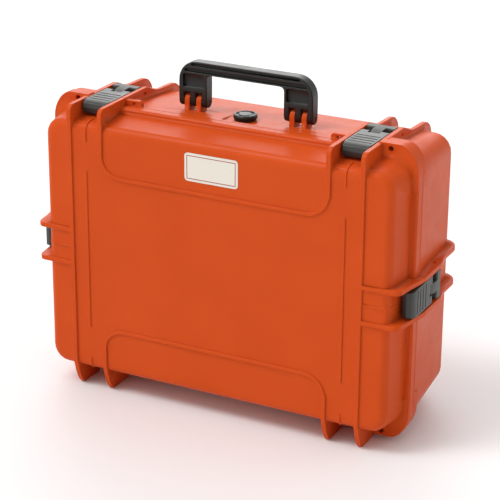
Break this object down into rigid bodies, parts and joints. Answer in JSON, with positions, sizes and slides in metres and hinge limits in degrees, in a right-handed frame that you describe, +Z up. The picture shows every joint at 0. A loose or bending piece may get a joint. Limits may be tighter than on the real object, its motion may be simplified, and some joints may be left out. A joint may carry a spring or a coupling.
{
  "type": "hard equipment case",
  "caption": "Hard waterproof equipment case with ribbed two-part shell, double-throw latches, swing handle and pressure valve, standing on its hinge side.",
  "frame": {"origin": "centre of the bounding box in X and Y, at the underside of the feet", "axes": "+Z up, the lid faces -Y, +X is the right side seen from the lid"},
  "size_m": [0.5546, 0.2186, 0.4646],
  "materials": {
    "orange_shell": "fine moulded texture, satin",
    "black_nylon": "fine moulded texture",
    "olive_nylon": "fine moulded texture",
    "seal_rubber": "matte",
    "pin_steel": "turned",
    "label_ivory": "semi-gloss",
    "membrane_white": "felted"
  },
  "bodies": {
    "base": {"base_shell": "orange_shell", "valve_body": "black_nylon", "valve_gasket": "seal_rubber", "valve_nut": "black_nylon", "valve_membrane": "membrane_white", "hinge_pin_left": "pin_steel", "hinge_pin_right": "pin_steel", "latch_top_left_pivot_pin": "black_nylon", "latch_top_right_pivot_pin": "black_nylon", "latch_side_left_pivot_pin": "black_nylon", "latch_side_right_pivot_pin": "black_nylon"},
    "lid": {"lid_shell": "orange_shell", "lid_gasket": "seal_rubber", "label_plate": "label_ivory"},
    "handle": {"handle": "black_nylon", "handle_pin_left": "black_nylon", "handle_pin_right": "black_nylon"},
    "valve_knob": {"valve_cap": "black_nylon", "valve_o_ring": "seal_rubber"},
    "latch_top_left_link": {"latch_top_left_link": "olive_nylon", "latch_top_left_lever_pin": "black_nylon"},
    "latch_top_left_lever": {"latch_top_left_lever": "black_nylon"},
    "latch_top_right_link": {"latch_top_right_link": "olive_nylon", "latch_top_right_lever_pin": "black_nylon"},
    "latch_top_right_lever": {"latch_top_right_lever": "black_nylon"},
    "latch_side_left_link": {"latch_side_left_link": "olive_nylon", "latch_side_left_lever_pin": "black_nylon"},
    "latch_side_left_lever": {"latch_side_left_lever": "black_nylon"},
    "latch_side_right_link": {"latch_side_right_link": "olive_nylon", "latch_side_right_lever_pin": "black_nylon"},
    "latch_side_right_lever": {"latch_side_right_lever": "black_nylon"}
  },
  "joints": [
    {"name": "lid_hinge", "type": "hinge", "parent": "base", "child": "lid", "pos_m": [0, -0.04475, 0.0058], "axis": [1, 0, 0], "range_deg": [0, 95]},
    {"name": "handle_swing", "type": "hinge", "parent": "base", "child": "handle", "pos_m": [0, -0.00475, 0.4098], "axis": [-1, 0, 0], "range_deg": [0, 90]},
    {"name": "valve_turn", "type": "hinge", "parent": "base", "child": "valve_knob", "pos_m": [0, -0.01075, 0.3975], "axis": [0, 0, 1], "range_deg": [0, 180]},
    {"name": "latch_top_left_link_pivot", "type": "hinge", "parent": "base", "child": "latch_top_left_link", "pos_m": [-0.1898, 0.00725, 0.4026], "axis": [-1, 0, 0], "range_deg": [0, 90]},
    {"name": "latch_top_left_lever_pivot", "type": "hinge", "parent": "latch_top_left_link", "child": "latch_top_left_lever", "pos_m": [-0.1898, -0.01875, 0.4036], "axis": [-1, 0, 0], "range_deg": [0, 75]},
    {"name": "latch_top_right_link_pivot", "type": "hinge", "parent": "base", "child": "latch_top_right_link", "pos_m": [0.1898, 0.00725, 0.4026], "axis": [-1, 0, 0], "range_deg": [0, 90]},
    {"name": "latch_top_right_lever_pivot", "type": "hinge", "parent": "latch_top_right_link", "child": "latch_top_right_lever", "pos_m": [0.1898, -0.01875, 0.4036], "axis": [-1, 0, 0], "range_deg": [0, 75]},
    {"name": "latch_side_left_link_pivot", "type": "hinge", "parent": "base", "child": "latch_side_left_link", "pos_m": [-0.2683, 0.00725, 0.2092], "axis": [0, 0, -1], "range_deg": [0, 90]},
    {"name": "latch_side_left_lever_pivot", "type": "hinge", "parent": "latch_side_left_link", "child": "latch_side_left_lever", "pos_m": [-0.2693, -0.01875, 0.2092], "axis": [0, 0, -1], "range_deg": [0, 75]},
    {"name": "latch_side_right_link_pivot", "type": "hinge", "parent": "base", "child": "latch_side_right_link", "pos_m": [0.2683, 0.00725, 0.2092], "axis": [0, 0, 1], "range_deg": [0, 90]},
    {"name": "latch_side_right_lever_pivot", "type": "hinge", "parent": "latch_side_right_link", "child": "latch_side_right_lever", "pos_m": [0.2693, -0.01875, 0.2092], "axis": [0, 0, 1], "range_deg": [0, 75]}
  ]
}
